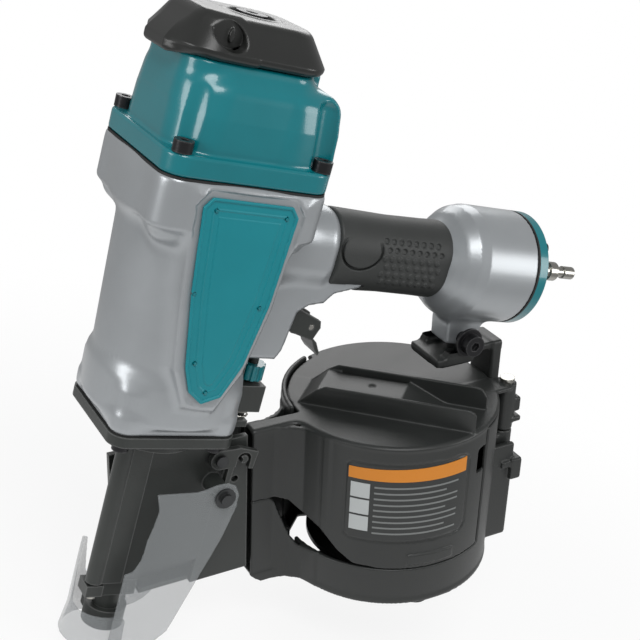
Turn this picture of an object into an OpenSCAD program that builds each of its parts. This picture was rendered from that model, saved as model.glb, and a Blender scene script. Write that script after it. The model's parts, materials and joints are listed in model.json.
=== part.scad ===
// Pneumatic coil nailer. Millimetres. +Z runs up the driver line, +X towards the air inlet, and the
// origin is on the driver line at the mouth of the nosepiece. The magazine stands in its own frame,
// which is tilted by feed_angle about Y: x along the nail strip, h along the canister's axis.

/* [Driver line] */
// Height of the housing's nose face above the nosepiece's mouth
deck_z = 128; // [118:1:154]
// Height of the housing casting from the nose face to the cap gasket
housing_h = 140; // [117:1:168]
// Height of the cylinder cap
cap_h = 54; // [48:1:65]
// Radius of the cylinder's bore
bore_r = 26; // [22:0.5:28]
// Wall of the cylinder sleeve
sleeve_t = 3; // [2.5:0.1:4]
// Radius of the driver channel in the nosepiece
channel_r = 4; // [3.6:0.1:4.8]
// Travel of the contact arm
foot_travel = 8; // [6:0.5:9]
/* [Housing] */
// Radius of the barrel
barrel_r = 43; // [41:0.5:46]
// Width of the collar and the cap flange along X
collar_w = 92; // [90:1:98]
// Depth of the collar and the cap flange along Y
collar_d = 89; // [88:1:96]
// Width of the nose face
flange_w = 70; // [68:1:76]
// Depth of the nose face
flange_d = 67; // [66:1:76]
// Wall of the barrel
barrel_wall = 4; // [3:0.5:5]
/* [Handle] */
// Height of the handle's axis
handle_z = 229; // [225:1:233]
// Width of the handle core
core_w = 32; // [30:1:36]
// Height of the handle core
core_h = 40; // [37:1:44]
// Thickness of the rubber grip
grip_t = 3; // [2:0.5:4]
// Place of the front of the rear chamber
chamber_x = 160; // [150:1:176]
// Length of the rear chamber
chamber_len = 46; // [40:1:55]
// Radius of the rear chamber
chamber_r = 34; // [31:1:38]
/* [Magazine] */
// Slope of the nail strip
feed_angle = 15; // [15:15]
// Outer radius of the canister
can_r = 66; // [62:1:72]
// Height of the canister
can_h = 108; // [104:1:116]
// Place of the canister's axis along the strip
can_x = 185; // [182:1:190]
// Wall of the canister
can_wall = 2.6; // [2.2:0.1:3.2]
// Half width of the nail passage
passage = 4.5; // [4:0.1:5]
/* [Air plug] */
// Radius of the plug's tip
plug_r = 3.95; // [3.5:0.05:5]
// Length of the plug's tip
plug_tip = 8; // [6:0.5:12]

/* [Hidden] */
$fn = 64;
gap = 0.3;            // clearance between moving faces
fit = 0.1;            // radial clearance of a running or seated fit
hair = 0.02;          // how far a cut runs past a face
// driver line
gasket_t = 1.2;
collar_z = deck_z + housing_h;
collar_h = 26;
cap_z = collar_z + gasket_t;
cap_flange_t = 11;
cap_top = cap_z + cap_h;
floor_t = 6;
sleeve_r = bore_r + sleeve_t;
sleeve_z = deck_z + floor_t;
sleeve_top = collar_z - 6;
bumper_t = 12;
piston_t = 16;
piston_top = sleeve_top - 4;
stroke = piston_top - piston_t - sleeve_z - bumper_t - gap;
nose_tip_z = 0;
driver_r = channel_r - 0.4;
driver_tip_z = nose_tip_z + stroke;
relief_z = driver_tip_z - 6;   // the channel is wider where the blade waits
corner_r = 12;
bolt_x = collar_w / 2 - 7.5;
bolt_y = collar_d / 2 - 6;
cap_bolt_r = 3;
barrel_in = barrel_r - barrel_wall;
badge_y = collar_d / 2 + 0.5;
badge_t = 1.4;
// head valve, inside the cap
valve_r = sleeve_r + 4;
valve_z = sleeve_top + gap;
valve_t = 13;
valve_travel = 4;
valve_bore_r = valve_r + fit;
post_r = 9;
spring_wire = 1.6;
// exhaust deflector
deflector_z = cap_top + 0.6;
deflector_h = 20;
deflector_in_r = 30;
deflector_bolt_r = 5;
// nose
nose_gasket_t = 0.8;
nose_flange_t = 6;
nose_flange_z = deck_z - nose_gasket_t - nose_flange_t;
nose_w = 22;
nose_d = 20;
solid_nose_h = 24;    // full round part of the nose, below the door
split_z = nose_tip_z + solid_nose_h;
door_top = nose_flange_z - 10;
nose_bolt_x = flange_w / 2 - 8;
nose_bolt_y = flange_d / 2 - 8;
nose_bolt_r = 2.5;
hinge_x = -15;
hinge_y = -9;
hinge_r = 2;
door_t = 6;
door_edge_x = 46;
// handle and rear chamber
grip_x0 = 76;
chamber_end = chamber_x + chamber_len;
chamber_wall = 4;
cap_disc_t = 6;
end_bolt_ring = chamber_r - 6;
hose_r = 14;
// trigger
trig_x = 55.3;
trig_z = handle_z - 34.5;
trig_pin_r = 2;
pocket_w = 17;
cheek_w = 30;
lever_x = 79.7;
lever_z = handle_z - 45;
stem_x = 72;
stem_r = 2;
stem_z = handle_z - 29;
// contact arm
guide_x = barrel_r + 0.3;   // flat face on the housing that carries the arm's guide
arm_x = guide_x + 10.2;
rod_r = 3;
run = 0.06;                 // radial clearance of the sliding arm and the pistons
bar_z = deck_z - 9;
guide_z = deck_z + 3;
dial_r = 7.5;
dial_z = deck_z + 21;
dial_h = 9;
arm_top = handle_z - 54.6 - foot_travel - 0.8;   // clears the lowest pin of the cheeks
link_y = 14.2;
mouth_r = 8;
mouth_h = 14.5;
foot_r = 12;
// side shield on the door
shield_t = 1.2;
shield_x = 44;
shield_z = 88;
shield_y = -29;
// latch
latch_x = 41.5;
latch_z = 103;
catch_x = 56;
catch_z = 104;
// magazine frame
floor_h = -9.4;
rim_h = floor_h + can_h;
can_in = can_r - can_wall;
seam_h = 15;
lid_t = 3;
lid_gap = 2.4;
pin_x = can_x + can_r + 6;
pin_y = -20;
pin_r = 2.5;
hump_turn = -39.5;
hump_near = -34;
hump_far = -5;
hump_h = 15;
guide_end = 86;       // rear end of the nose's own nail guide, along the strip
front_gap = 3;        // slit between the nose guide and the canister's front
guide_top = rim_h - 1.6;
feed_h = 60;          // height of the feed cylinder's axis in the magazine frame
feed_y = 21;
feed_x0 = 40;
feed_x1 = 62;
feed_travel = 8;
platform_travel = 24;
// rear hanger
hang_x = chamber_x + 26;
hang_z = handle_z - 44.5;
hang_bolt_r = 4;
hang_half = 9;

// ---------- helpers ----------
module box(x0, x1, y0, y1, z0, z1) translate([x0, y0, z0]) cube([x1 - x0, y1 - y0, z1 - z0]);
module rod_z(r, z0, z1, x = 0, y = 0) translate([x, y, z0]) cylinder(r = r, h = z1 - z0);
module rod_y(r, y0, y1, x, z) translate([x, y1, z]) rotate([90, 0, 0]) cylinder(r = r, h = y1 - y0);
module rod_x(r, x0, x1, y, z) translate([x0, y, z]) rotate([0, 90, 0]) cylinder(r = r, h = x1 - x0);
module cone_x(r0, r1, x0, x1, y, z)
    translate([x0, y, z]) rotate([0, 90, 0]) cylinder(r1 = r0, r2 = r1, h = x1 - x0);
module ring_z(r_out, r_in, z0, z1, x = 0, y = 0) difference() {
    rod_z(r_out, z0, z1, x, y);
    rod_z(r_in, z0 - 1, z1 + 1, x, y);
}
// rounded rectangle, centred, built from true arcs
module rounded(w, d, r) {
    square([w - 2 * r, d], center = true);
    square([w, d - 2 * r], center = true);
    for (sx = [-1, 1], sy = [-1, 1]) translate([sx * (w / 2 - r), sy * (d / 2 - r)]) circle(r);
}
module slab(w, d, r, z0, z1) translate([0, 0, z0]) linear_extrude(z1 - z0) rounded(w, d, r);
// profile in the XZ plane, drawn out between two Y planes
module side_plate(points, y0, y1)
    translate([0, y1, 0]) rotate([90, 0, 0]) linear_extrude(y1 - y0) polygon(points);
module stadium_x(w, h, x0, x1, z) {
    for (s = [-1, 1]) rod_x(w / 2, x0, x1, 0, z + s * (h - w) / 2);
    box(x0, x1, -w / 2, w / 2, z - (h - w) / 2, z + (h - w) / 2);
}
module at_corners(x, y) for (sx = [-1, 1], sy = [-1, 1]) translate([sx * x, sy * y, 0]) children();
module torus(ring_r, wire_r) rotate_extrude() translate([ring_r, 0]) circle(wire_r, $fn = 24);
module in_magazine() rotate([0, -feed_angle, 0]) children();
// coil spring on the Z axis from z = 0, as one swept polyhedron
module coil(coil_r, wire_r, height, turns, sides = 6, per_turn = 14) {
    rings = turns * per_turn;
    points = [for (i = [0:rings]) let (a = 360 * i / per_turn, z = wire_r + (height - 2 * wire_r) * i / rings)
        for (k = [0:sides - 1]) let (b = 360 * k / sides, r = coil_r + wire_r * cos(b))
            [r * cos(a), r * sin(a), z + wire_r * sin(b)]];
    quads = [for (i = [0:rings - 1], k = [0:sides - 1]) let (n = (k + 1) % sides)
        [i * sides + k, (i + 1) * sides + k, (i + 1) * sides + n, i * sides + n]];
    ends = [[for (k = [0:sides - 1]) k], [for (k = [sides - 1:-1:0]) rings * sides + k]];
    polyhedron(points, concat(quads, ends), convexity = 8);
}
module screw_head(r, h, socket_r) difference() {
    cylinder(r = r, h = h);
    translate([0, 0, h - 2.5]) cylinder(r = socket_r, h = 3, $fn = 6);
}

// ---------- housing ----------
cheek = [[36, deck_z + 38], [58, deck_z + 38], [61, deck_z + 44], [64, trig_z], [70, handle_z - 30],
    [79, handle_z - 28], [84, handle_z - 22], [100, handle_z - 17], [100, handle_z], [36, handle_z]];
module badge_outline() polygon([[-24, collar_z - 11], [-20, collar_z - 6], [24, collar_z - 6], [28, collar_z - 11],
        [25, collar_z - 58], [19, collar_z - 92], [11, collar_z - 110], [1, collar_z - 114],
        [-7, collar_z - 108], [-12, collar_z - 95], [-19, collar_z - 55]]);
module badge_plate(y0, y1) translate([0, y1, 0]) rotate([90, 0, 0]) linear_extrude(y1 - y0) badge_outline();
module badge_pad(y0, y1) translate([1, y1, 0]) rotate([90, 0, 0]) linear_extrude(y1 - y0)
    polygon([[-30, collar_z - 4], [32, collar_z - 4], [28, collar_z - 62], [21, collar_z - 98],
        [10, collar_z - 120], [-8, collar_z - 118], [-18, collar_z - 98], [-24, collar_z - 58]]);
module main_housing() color("silver") difference() {
    union() {
        slab(flange_w, flange_d, 8, deck_z, deck_z + 10);
        translate([0, 0, deck_z + 6]) cylinder(r1 = flange_d / 2, r2 = barrel_r, h = 24);
        rod_z(barrel_r, deck_z + 30, collar_z);
        translate([0, 0, collar_z - collar_h - 10]) cylinder(r1 = barrel_r, r2 = collar_d / 2, h = 10);
        slab(collar_w, collar_d, corner_r, collar_z - collar_h, collar_z);
        at_corners(nose_bolt_x, nose_bolt_y) rod_z(7, deck_z, deck_z + 24);
        box(30, guide_x, -9, 9, deck_z + 8, deck_z + 50);
        badge_pad(-badge_y, -20);
        badge_pad(20, badge_y);
        stadium_x(core_w, core_h, 30, chamber_x + 8, handle_z);
        side_plate(cheek, -cheek_w / 2, cheek_w / 2);
        cone_x(core_h / 2 + 4, chamber_r, chamber_x - 6, chamber_x + 8, 0, handle_z);
        rod_x(chamber_r, chamber_x + 8, chamber_end, 0, handle_z);
        side_plate([[hang_x - 16, handle_z - 16], [hang_x - 13, hang_z + 6], [hang_x - 10, hang_z - 5],
            [hang_x + 8, hang_z - 6], [hang_x + 12, hang_z + 4], [hang_x + 14, handle_z - 16]],
            -hang_half, hang_half);
    }
    rod_z(sleeve_r + fit, sleeve_z, collar_z + 1);
    ring_z(barrel_in, sleeve_r + fit - hair, deck_z + 34, collar_z + 1);
    rod_z(driver_r + 5, deck_z - 1, sleeve_z + 1);
    rod_x(hose_r, 34, chamber_end - 2, 0, handle_z);
    rod_x(chamber_r - chamber_wall, chamber_x + 10, chamber_end + 1, 0, handle_z);
    box(guide_x, 110, -pocket_w / 2, pocket_w / 2, deck_z + 30, handle_z - 26);
    rod_z(8 + fit, handle_z - 30, handle_z, stem_x);
    rod_y(trig_pin_r + fit, -cheek_w, cheek_w, trig_x, trig_z);
    for (p = cheek_pin_places) rod_y(trig_pin_r + fit, -cheek_w, cheek_w, p[0], p[1]);
    rod_y(hang_bolt_r + fit, -20, 20, hang_x, hang_z);
    at_corners(bolt_x, bolt_y) rod_z(cap_bolt_r + fit, collar_z - 20, collar_z + 1);
    at_corners(nose_bolt_x, nose_bolt_y) rod_z(nose_bolt_r + fit, deck_z - 1, deck_z + 16);
    chamber_bolt_places() rod_x(2 + fit, chamber_end - 12, chamber_end + 1, 0, 0);
}
cheek_pin_places = [[59.5, handle_z - 16.5], [54.8, handle_z - 52.6]];
rivets = [[-17, collar_z - 12], [22, collar_z - 12], [-18, collar_z - 55], [20, collar_z - 60],
    [-8, collar_z - 92], [2, collar_z - 108]];
module side_badges() color([0, 0.5, 0.53]) difference() {
    union() {
        badge_plate(badge_y, badge_y + badge_t);
        badge_plate(-badge_y - badge_t, -badge_y);
    }
    for (p = rivets) rod_y(0.9, -60, 60, p[0], p[1]);
}
module badge_rivets() color([0, 0.4, 0.43]) for (s = [-1, 1], p = rivets)
    rod_y(0.85, s > 0 ? badge_y : -badge_y - badge_t - 0.4, s > 0 ? badge_y + badge_t + 0.4 : -badge_y, p[0], p[1]);

// ---------- cap, exhaust and head valve ----------
module cap_gasket() color([0.15, 0.15, 0.15]) difference() {
    slab(collar_w, collar_d, corner_r, collar_z, cap_z);
    rod_z(barrel_in, collar_z - 1, cap_z + 1);
    at_corners(bolt_x, bolt_y) rod_z(cap_bolt_r + fit, collar_z - 1, cap_z + 1);
}
module cylinder_cap() color([0, 0.47, 0.5]) difference() {
    union() {
        slab(collar_w, collar_d, corner_r, cap_z, cap_z + cap_flange_t);
        slab(collar_w - 3, collar_d - 3, 24, cap_z + cap_flange_t, cap_top - 14);
        slab(collar_w - 9, collar_d - 9, 24, cap_top - 14, cap_top - 4);
        rod_z(deflector_in_r + 4, cap_top - 4, cap_top);
    }
    rod_z(barrel_in, cap_z - 1, cap_z + 2);
    rod_z(valve_bore_r, cap_z - 1, valve_z + valve_t + valve_travel + 14);
    rod_z(16, cap_z, cap_top + 1);
    at_corners(bolt_x, bolt_y) rod_z(cap_bolt_r + fit, cap_z - 1, cap_top + 1);
    at_corners(bolt_x, bolt_y) rod_z(6.5, cap_z + cap_flange_t, cap_top + 1);
}
module cap_bolts() color([0.1, 0.1, 0.1]) at_corners(bolt_x, bolt_y) {
    rod_z(cap_bolt_r, collar_z - 18, cap_z + cap_flange_t);
    translate([0, 0, cap_z + cap_flange_t]) screw_head(5, 6, 2.5);
}
// bridge that carries the piston stop and the deflector's bolt, screwed in the cap's outlet
module piston_stop() color([0.2, 0.2, 0.2]) difference() {
    union() {
        rod_z(post_r, valve_z + 2, cap_top + 0.3);
        for (a = [0:120:240]) rotate([0, 0, a]) box(post_r - 2, 15.6, -3, 3, cap_top - 6, cap_top - 1);
    }
    rod_z(deflector_bolt_r + fit, cap_top - 22, cap_top + 1);
}
module head_valve() color("gainsboro") difference() {
    rod_z(valve_r, valve_z, valve_z + valve_t);
    rod_z(bore_r - 3, valve_z - 1, valve_z + 4);
    rod_z(post_r + 2, valve_z, valve_z + valve_t + 1);
    translate([0, 0, valve_z + 10]) rotate_extrude() translate([valve_r, 0]) square([4, 2.4], center = true);
}
module head_valve_seal() color([0.1, 0.1, 0.1]) translate([0, 0, valve_z + 10]) torus(valve_r - 0.95, 0.95);
module head_valve_spring() color("gray")
    translate([0, 0, valve_z + valve_t + fit]) coil(valve_r - 8, spring_wire / 2, 17.8, 4);
module exhaust_deflector() color([0.12, 0.12, 0.12]) difference() {
    union() {
        translate([-4, 0, deflector_z]) linear_extrude(deflector_h - 6) rounded(80, 68, 18);
        translate([-4, 0, deflector_z + deflector_h - 6]) linear_extrude(6) rounded(70, 58, 16);
        side_plate([[-54, deflector_z + 2], [-40, deflector_z + deflector_h], [-30, deflector_z + deflector_h],
            [-30, deflector_z + 2]], -27, 27);
    }
    rod_z(deflector_in_r, deflector_z - 1, deflector_z + deflector_h - 9);
    box(-60, -10, -22, 22, deflector_z - 1, deflector_z + 10);
    rod_z(11, deflector_z + deflector_h - 4, deflector_z + deflector_h + 1);
    rod_z(deflector_bolt_r + gap, deflector_z, deflector_z + deflector_h);
}
module deflector_washer() color("dimgray")
    ring_z(10, deflector_bolt_r + fit, deflector_z + deflector_h - 4 + fit, deflector_z + deflector_h - 2.6);
module deflector_bolt() color([0.1, 0.1, 0.1]) {
    rod_z(deflector_bolt_r, cap_top - 20, deflector_z + deflector_h - 2.6);
    translate([0, 0, deflector_z + deflector_h - 2.6]) screw_head(8, 3.6, 3.4);
}

// ---------- cylinder and driver ----------
module cylinder_sleeve() color("lightgray") difference() {
    rod_z(sleeve_r, sleeve_z + fit, sleeve_top);
    rod_z(bore_r, sleeve_z - 1, sleeve_top + 1);
    for (z = [sleeve_z + 8, sleeve_z + 20]) translate([0, 0, z])
        rotate_extrude() translate([sleeve_r, 0]) square([2.4, 1.6], center = true);
    for (a = [0:45:315]) rotate([0, 0, a]) rod_x(1.5, bore_r - 2, sleeve_r + 2, 0, sleeve_z + 28);
}
module sleeve_seals() color([0.1, 0.1, 0.1])
    for (z = [sleeve_z + 8, sleeve_z + 20]) translate([0, 0, z]) torus(sleeve_r - 0.5, 0.55);
module piston() color("silver") difference() {
    union() {
        rod_z(bore_r - fit, piston_top - piston_t, piston_top);
        rod_z(driver_r + 4, piston_top - piston_t - 3, piston_top);
    }
    rod_z(driver_r + fit, piston_top - piston_t - 4, piston_top - 4);
    translate([0, 0, piston_top - 6]) rotate_extrude() translate([bore_r, 0]) square([5, 3], center = true);
    ring_z(bore_r - 7, driver_r + 6, piston_top - 8, piston_top + 1);
}
module piston_ring() color([0.1, 0.1, 0.1]) translate([0, 0, piston_top - 6]) torus(bore_r - 1.25, 1.15);
module driver_blade() color("gray") rod_z(driver_r, driver_tip_z, piston_top - 4 - fit);
module bumper() color([0.15, 0.15, 0.15])
    ring_z(bore_r - fit, driver_r + 4.4, sleeve_z + fit, sleeve_z + bumper_t);

// ---------- handle and rear chamber ----------
module handle_grip() color([0.2, 0.2, 0.2]) difference() {
    stadium_x(core_w + 2 * grip_t + 2, core_h + 2 * grip_t, grip_x0, chamber_x - 6 - gap, handle_z);
    stadium_x(core_w + 2 * fit, core_h + 2 * fit, grip_x0 - 1, chamber_x, handle_z);
    side_plate([for (p = cheek) [p[0], p[1] + 0.2]], -cheek_w / 2 - fit, cheek_w / 2 + fit);
    box(grip_x0 - 1, 101, -cheek_w / 2 - fit, cheek_w / 2 + fit, handle_z - 40, handle_z - 10);
}
module chamber_gasket() color([0.1, 0.1, 0.1]) difference() {
    rod_x(chamber_r, chamber_end, chamber_end + gasket_t, 0, handle_z);
    rod_x(chamber_r - chamber_wall - 6, chamber_end - 1, chamber_end + 3, 0, handle_z);
    chamber_bolt_places() rod_x(2 + fit, chamber_end - 1, chamber_end + 3, 0, 0);
}
module chamber_bolt_places() for (a = [45:90:315])
    translate([0, end_bolt_ring * cos(a) + 0, handle_z + end_bolt_ring * sin(a)]) children();
module chamber_cap() color([0, 0.5, 0.53]) difference() {
    union() {
        rod_x(chamber_r, chamber_end + gasket_t, chamber_end + gasket_t + cap_disc_t, 0, handle_z);
        rod_x(13, chamber_end + gasket_t, chamber_end + gasket_t + cap_disc_t + 6, 0, handle_z);
    }
    rod_x(6.6 + fit, chamber_end, chamber_end + 30, 0, handle_z);
    chamber_bolt_places() rod_x(2 + fit, chamber_end - 1, chamber_end + 20, 0, 0);
}
module chamber_bolts() color([0.1, 0.1, 0.1]) chamber_bolt_places() {
    rod_x(2, chamber_end - 10, chamber_end + gasket_t + cap_disc_t, 0, 0);
    translate([chamber_end + gasket_t + cap_disc_t, 0, 0]) rotate([0, 90, 0]) screw_head(3.6, 3.5, 1.6);
}
plug_x = chamber_end + gasket_t + cap_disc_t + 6;
plug_end = plug_x + 44;
module air_plug() color("silver") difference() {
    union() {
        rod_x(6.6, chamber_end + gasket_t + 1, plug_x, 0, handle_z);
        translate([plug_x, 0, handle_z]) rotate([0, 90, 0]) cylinder(r = 8, h = 7, $fn = 6);
        rod_x(4.8, plug_x, plug_x + 24, 0, handle_z);
        rod_x(5.9, plug_x + 23, plug_x + 29, 0, handle_z);
        rod_x(3.2, plug_x + 26, plug_end, 0, handle_z);
        rod_x(plug_r, plug_end - plug_tip, plug_end, 0, handle_z);
    }
    rod_x(2.4, chamber_end, plug_end + 1, 0, handle_z);
}

// ---------- trigger and its valve ----------
module valve_body() color("gainsboro") difference() {
    rod_z(8, stem_z, handle_z - 16, stem_x);
    rod_z(stem_r + fit, stem_z - 1, handle_z - 24 + 1, stem_x);
    rod_z(5, handle_z - 24, handle_z - 17, stem_x);
}
module valve_stem() color("gray") {
    rod_z(stem_r, stem_z - 4, handle_z - 24.5, stem_x);
    rod_z(3.4, handle_z - 23.5, handle_z - 21.5, stem_x);
    rod_z(stem_r, handle_z - 24.6, handle_z - 23.4, stem_x);
}
module valve_spring() color("silver") translate([stem_x, 0, handle_z - 21.4]) coil(2.8, 0.4, 4.3, 2);
// the two side walls, the finger bridge and the curved tongue of the trigger
module trigger() color([0.15, 0.15, 0.15]) difference() {
    union() {
        for (s = [-1, 1]) side_plate([[trig_x - 4, trig_z - 3], [trig_x, trig_z + 4], [trig_x + 6, trig_z + 3],
            [lever_x + 5, lever_z + 4], [lever_x + 6, lever_z], [lever_x + 3, lever_z - 7],
            [trig_x + 12, lever_z - 4], [trig_x + 2, trig_z - 6]],
            s > 0 ? 5 : -8, s > 0 ? 8 : -5);
        side_plate([[trig_x + 13, lever_z - 4], [trig_x + 12, lever_z - 2], [lever_x + 1, lever_z - 5],
            [lever_x + 6, lever_z - 9], [lever_x + 9.5, lever_z - 15], [lever_x + 9, lever_z - 17],
            [lever_x + 6, lever_z - 14], [lever_x + 2.5, lever_z - 8]], -8, 8);
    }
    rod_y(trig_pin_r + fit, -20, 20, trig_x, trig_z);
    rod_y(1.5 + fit, -20, 20, lever_x, lever_z);
}
module trigger_lever() color("silver") difference() {
    union() {
        side_plate([[61, lever_z + 3.4], [61, lever_z + 5], [lever_x, lever_z + 2.6], [lever_x + 2, lever_z],
            [lever_x, lever_z - 2.6], [lever_x - 4, lever_z - 1]], -4, 4);
        rod_y(3, -4, 4, lever_x, lever_z);
    }
    rod_y(1.5 + fit, -20, 20, lever_x, lever_z);
}
module lever_pin() color("gray") rod_y(1.5, -8, 8, lever_x, lever_z);
module cheek_pins() color([0.1, 0.1, 0.1])
    for (p = concat(cheek_pin_places, [[trig_x, trig_z]]))
        rod_y(trig_pin_r, -cheek_w / 2 + 0.5, cheek_w / 2 - 0.5, p[0], p[1]);

// ---------- nose ----------
module nose_gasket() color([0.1, 0.1, 0.1]) difference() {
    slab(flange_w, flange_d, 8, deck_z - nose_gasket_t, deck_z);
    rod_z(driver_r + 6, deck_z - 2, deck_z + 1);
    at_corners(nose_bolt_x, nose_bolt_y) rod_z(nose_bolt_r + fit, deck_z - 2, deck_z + 1);
}
module nosepiece() color([0.16, 0.16, 0.16]) difference() {
    union() {
        slab(flange_w + 2, flange_d + 2, 9, nose_flange_z, deck_z - nose_gasket_t);
        rod_z(25, nose_flange_z - 8, nose_flange_z + 1);
        rod_z(mouth_r, nose_tip_z, mouth_h + 1);
        box(-nose_w / 2, nose_w / 2, -nose_d / 2, nose_d / 2, mouth_h, split_z);
        box(-nose_w / 2, nose_w / 2, 0, nose_d / 2, split_z - 1, nose_flange_z);
        for (z = [split_z - 8, door_top + 1])
            box(hinge_x - 5, -nose_w / 2 + 1, hinge_y - 4, hinge_y + 8, z, z + 7);
        // far wall, floor and near wall of the nail guide
        in_magazine() box(8, guide_end, passage, passage + 3.5, 6, guide_top);
        in_magazine() box(17, guide_end, -passage, passage + 1, 6, 9);
        difference() {
            in_magazine() box(8, guide_end, -passage - 3.5, -passage, 6, guide_top);
            box(-50, door_edge_x + gap, -40, 40, -50, 200);
        }
        rod_y(2.5, -passage - door_t - 4, -passage - 1, catch_x, catch_z);
        // feed cylinder
        in_magazine() rod_x(9, feed_x0, feed_x1, feed_y, feed_h);
        in_magazine() box(feed_x0, feed_x1 - 2, passage + 3, feed_y, feed_h - 9, feed_h + 9);
    }
    rod_z(channel_r, nose_tip_z - 1, nose_flange_z);
    rod_z(channel_r + 0.6, relief_z, nose_flange_z);
    // room for the foot when it is pressed in
    difference() {
        box(-20, foot_r + 5, -20, 20, -10, mouth_h - 0.8);
        rod_z(mouth_r, -11, mouth_h);
    }
    rod_z(driver_r + 5, nose_flange_z - 7, deck_z);
    box(0, 30, -channel_r, passage - hair, split_z, nose_flange_z - 12);
    box(-60, -nose_w / 2 + 1, hinge_y - 10, hinge_y + 12, split_z, door_top);
    rod_z(hinge_r + fit, split_z - 9, door_top + 9, hinge_x, hinge_y);
    at_corners(nose_bolt_x, nose_bolt_y) rod_z(nose_bolt_r + fit, nose_flange_z - 10, deck_z);
    in_magazine() rod_x(6 + run, feed_x0 + 1.5, feed_x1 + 1, feed_y, feed_h);
    in_magazine() rod_x(2.5 + run, feed_x0 - 1, feed_x0 + 3, feed_y, feed_h);
    in_magazine() box(22.5, feed_x0 - gap, 1, 40, feed_h - 4.5, feed_h + 4.5);
    for (h = strap_bolt_h) in_magazine() rod_y(2 + fit, -20, 20, strap_bolt_x, h);
}
strap_bolt_x = guide_end - 8;
strap_bolt_h = [70, 86];
module nose_bolts() color([0.1, 0.1, 0.1]) at_corners(nose_bolt_x, nose_bolt_y) {
    rod_z(nose_bolt_r, nose_flange_z, deck_z + 14);
    translate([0, 0, nose_flange_z]) mirror([0, 0, 1]) screw_head(4.5, 5, 2);
}

// ---------- feed door ----------
door_y = -passage - door_t;
module feed_door() color([0.2, 0.2, 0.2]) difference() {
    union() {
        box(-nose_w / 2, nose_w / 2, -nose_d / 2, -gap, split_z + gap, door_top);
        side_plate([[-5, split_z + gap], [door_edge_x, split_z + 13], [door_edge_x, door_top - 4],
            [door_edge_x - 4, door_top], [-5, door_top]], door_y, -passage);
        rod_z(5, split_z + gap, door_top, hinge_x, hinge_y);
        box(hinge_x, 0, hinge_y - 4, -nose_d / 2 + 4, split_z + gap, door_top);
        rod_y(5.5, shield_y + shield_t, door_y + 1, shield_x - 3, shield_z);
    }
    rod_z(channel_r, 0, door_top + 1);
    rod_z(channel_r + 0.6, relief_z, door_top + 1);
    box(0, door_edge_x + 1, -passage, 1, 0, door_top + 1);
    rod_z(hinge_r + run, 0, door_top + 1, hinge_x, hinge_y);
    rod_y(2 + fit, shield_y - 1, door_y + 4, shield_x - 3, shield_z);
    rod_y(2 + run, door_y - 1, -passage + 1, latch_x, latch_z);
}
module door_hinge_pin() color("gray") union() {
    rod_z(hinge_r, split_z - 8, door_top + 8, hinge_x, hinge_y);
    rod_z(hinge_r + 1, split_z - 10, split_z - 8, hinge_x, hinge_y);
}
// plain sheet along the near side of the nose, on a boss of the door
shield_edge = [[-4, -11], [7.5, -12.5], [18, -9], [27, 2], [44, 64], [shield_x + 6, shield_z - 2],
    [shield_x + 4, shield_z + 5], [shield_x - 3, shield_z + 8], [shield_x - 11, shield_z + 5],
    [14, shield_z - 5], [4, 54], [-4, 40]];
module side_shield() color([0.85, 0.9, 0.92, 0.6]) difference() {
    intersection() {
        side_plate(shield_edge, -60, 0);
        translate([0, 0, -50]) linear_extrude(200) polygon([[-4, -22], [shield_x - 16, shield_y + shield_t],
            [60, shield_y + shield_t], [60, shield_y], [shield_x - 16.5, shield_y], [-4, -22 - shield_t]]);
    }
    rod_y(2 + fit, -60, 0, shield_x - 3, shield_z);
}
module shield_screw() color("gray") union() {
    rod_y(2, shield_y, door_y + 3, shield_x - 3, shield_z);
    rod_y(6, shield_y - 1.5, shield_y, shield_x - 3, shield_z);
    rod_y(3.5, shield_y - 4, shield_y - 1.4, shield_x - 3, shield_z);
}
latch_y0 = door_y - 4;
latch_y1 = door_y - gap;
module door_latch() color([0.3, 0.3, 0.3]) difference() {
    union() {
        rod_y(6, latch_y0, latch_y1, latch_x, latch_z);
        side_plate([[latch_x, latch_z - 6], [latch_x + 6, latch_z - 5], [latch_x + 6, latch_z - 15],
            [latch_x + 9, latch_z - 16], [latch_x + 9.5, latch_z - 4], [catch_x + 7, catch_z - 6],
            [catch_x + 8, catch_z + 5], [catch_x - 4, catch_z + 7], [latch_x, latch_z + 6]], latch_y0, latch_y1);
    }
    rod_y(2 + fit, latch_y0 - 1, latch_y1 + 1, latch_x, latch_z);
    rod_y(4.2, latch_y0 - 1, latch_y1 + 1, catch_x, catch_z);
    box(catch_x - 4.2, catch_x + 4.2, latch_y0 - 1, latch_y1 + 1, catch_z - 12, catch_z);
}
module latch_pin() color("gray") union() {
    rod_y(2, latch_y0 - 0.2, -passage - 0.5, latch_x, latch_z);
    rod_y(3.5, latch_y0 - 2.2, latch_y0 - 0.2, latch_x, latch_z);
}

// ---------- contact arm ----------
module contact_foot() color([0.25, 0.25, 0.25]) difference() {
    union() {
        rod_z(foot_r, -foot_travel, 4);
        box(-7, 14, 4, link_y, -foot_travel, 4);
    }
    rod_z(mouth_r + run, -foot_travel - 1, 5);
    for (x = foot_pins) rod_y(1.5 + fit, link_y - 4, link_y + 4, x, -2);
}
foot_pins = [2, 10];
module contact_arm() color([0.3, 0.3, 0.3]) difference() {
    union() {
        rod_z(rod_r, bar_z, arm_top, arm_x);
        box(arm_x - 4, arm_x + 4.2, -4, link_y + 3, bar_z, bar_z + 4);
        side_plate([[-7, -foot_travel], [13, -foot_travel], [arm_x + 4.2, 48], [arm_x + 4.2, bar_z + 4],
            [arm_x - 1.4, bar_z + 4], [arm_x - 1.4, 52], [-7, 8]], link_y, link_y + 3);
    }
    for (x = foot_pins) rod_y(1.5 + fit, link_y - 4, link_y + 4, x, -2);
}
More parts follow.
